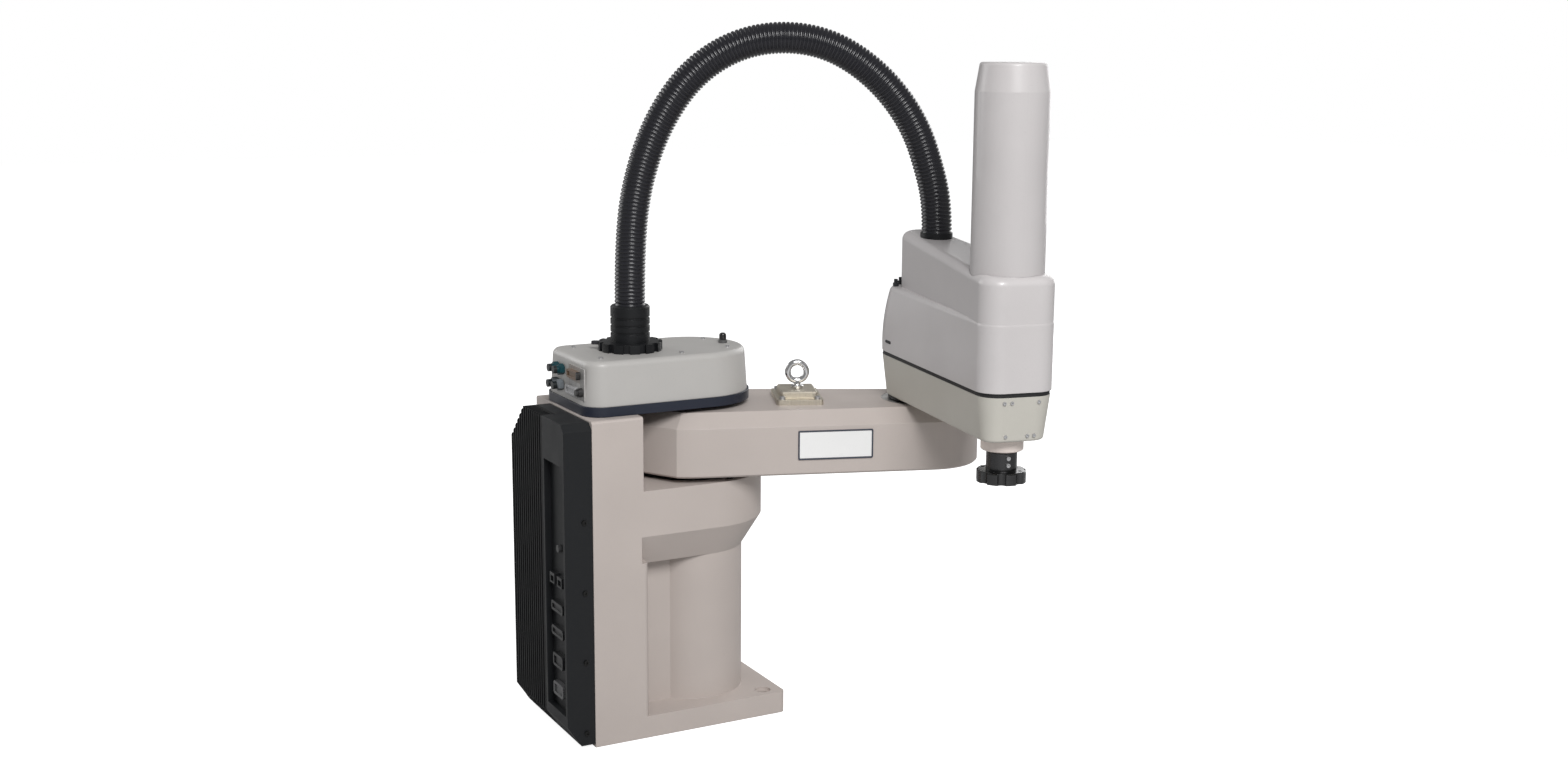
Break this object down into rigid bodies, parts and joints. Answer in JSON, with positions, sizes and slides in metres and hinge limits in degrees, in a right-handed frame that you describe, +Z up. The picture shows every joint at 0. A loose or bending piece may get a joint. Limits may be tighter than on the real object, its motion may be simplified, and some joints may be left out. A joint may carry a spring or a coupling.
{
  "type": "four-axis wafer transfer robot",
  "caption": "Bench robot arm that carries wafers: cast base with amplifier chassis, two swinging links, an external harness hose and a ball-screw quill.",
  "frame": {"origin": "where joint 1's axis meets the mounting face", "axes": "+Z up along joint 1, +X out of the front of the base, +Y to the robot's left"},
  "size_m": [0.605, 0.5517, 0.9491],
  "materials": {
    "casting_paint": "satin warm grey powder coat",
    "arm_paint": "satin light grey paint",
    "cover_paint": "satin light grey paint",
    "band_paint": "satin navy black paint",
    "chassis_black": "satin black",
    "black_anodised": "black anodised",
    "machined": "bare machined",
    "steel": "ground",
    "black_steel": "black oxide",
    "bright_steel": "hard chrome plate",
    "lift_brass": "satin passivated",
    "conduit_plastic": "glossy black",
    "gland_plastic": "matt black",
    "rubber": "matt",
    "plate_white": "satin white",
    "plate_frame": "satin dark blue grey",
    "fitting_teal": "glossy",
    "connector_mix": "matt dark",
    "board_green": "solder mask",
    "lamp_lens": "smoked lens",
    "button_grey": "glossy",
    "bronze": "machined bronze"
  },
  "bodies": {
    "base": {"base_casting": "casting_paint", "amplifier_chassis": "chassis_black", "heat_sink": "black_anodised", "connector_panel": "chassis_black", "panel_connectors": "connector_mix", "amplifier_boards": "board_green", "chassis_screws": "black_steel", "cover_plate": "band_paint", "top_cover": "cover_paint", "conduit_gland": "gland_plastic", "gland_ring_nut": "gland_plastic", "cover_screws": "steel", "status_lamp": "lamp_lens", "air_fittings": "fitting_teal", "user_connectors": "connector_mix", "j1_motor": "black_anodised", "j1_reducer": "machined", "j1_stop_bumpers": "rubber"},
    "brake_button": {"brake_release_button": "button_grey"},
    "inner_link": {"j1_output_hub": "steel", "inner_link_casting": "casting_paint", "link_underside_cover": "casting_paint", "name_plate_frame": "plate_frame", "name_plate": "plate_white", "lifting_block": "lift_brass", "eyebolt": "steel", "lifting_screws": "steel", "j2_reducer": "machined", "harness_conduit": "conduit_plastic"},
    "outer_link": {"outer_link_casting": "arm_paint", "link_gasket": "rubber", "outer_cover": "cover_paint", "arm_gland": "gland_plastic", "quill_cover": "cover_paint", "nose_collar": "machined", "nose_screws": "steel", "arm_air_fittings": "fitting_teal", "j2_output_hub": "steel", "j2_motor": "black_anodised", "drive_plate": "machined", "j3_motor_bracket": "machined", "j3_motor": "black_anodised", "j4_motor": "black_anodised", "j3_belt": "rubber", "j4_belt": "rubber", "spline_nut_bearing": "steel", "ball_nut_bearing": "steel"},
    "spline_turn": {"spline_nut": "steel", "j4_driven_pulley": "machined"},
    "quill": {"quill_shaft": "bright_steel", "tool_flange": "black_anodised", "flange_clamp_screws": "steel", "stop_collar": "steel"},
    "ball_nut_turn": {"ball_nut": "steel", "j3_driven_pulley": "machined"},
    "j3_pulley_turn": {"j3_motor_pulley": "steel"},
    "j4_pulley_turn": {"j4_motor_pulley": "steel"}
  },
  "joints": [
    {"name": "joint_1", "type": "hinge", "parent": "base", "child": "inner_link", "pos_m": [0, 0, 0.3], "axis": [0, 0, 1], "range_deg": [-74.85, 119.15]},
    {"name": "joint_2", "type": "hinge", "parent": "inner_link", "child": "outer_link", "pos_m": [0.30101, -0.12254, 0.43], "axis": [0, 0, 1], "range_deg": [-41.15, 198.85]},
    {"name": "joint_4", "type": "hinge", "parent": "outer_link", "child": "spline_turn", "pos_m": [0.24854, -0.39248, 0.5], "axis": [0, 0, 1], "range_deg": [-360, 360]},
    {"name": "joint_3", "type": "slide", "parent": "spline_turn", "child": "quill", "axis": [0, 0, -1], "range_m": [0, 0.21]},
    {"name": "ball_nut_spin", "type": "hinge", "parent": "outer_link", "child": "ball_nut_turn", "pos_m": [0.24854, -0.39248, 0.56], "axis": [0, 0, 1], "range_deg": [-20, 3800]},
    {"name": "joint_3_motor_spin", "type": "hinge", "parent": "outer_link", "child": "j3_pulley_turn", "pos_m": [0.26629, -0.30119, 0.5], "axis": [0, 0, 1], "range_deg": [-20, 8220]},
    {"name": "joint_4_motor_spin", "type": "hinge", "parent": "outer_link", "child": "j4_pulley_turn", "pos_m": [0.27945, -0.23346, 0.5], "axis": [0, 0, 1], "range_deg": [-910, 910]},
    {"name": "brake_release", "type": "slide", "parent": "base", "child": "brake_button", "axis": [1, 0, 0], "range_m": [0, 0.002], "stiffness_N_per_m": 600, "springref_m": -0.002}
  ],
  "couplings": [
    {"joint": "ball_nut_spin", "follows": "joint_3", "rad_per_m": 314.16},
    {"joint": "joint_3_motor_spin", "follows": "joint_3", "rad_per_m": 680.68},
    {"joint": "joint_4_motor_spin", "follows": "joint_4", "ratio": 2.5}
  ]
}
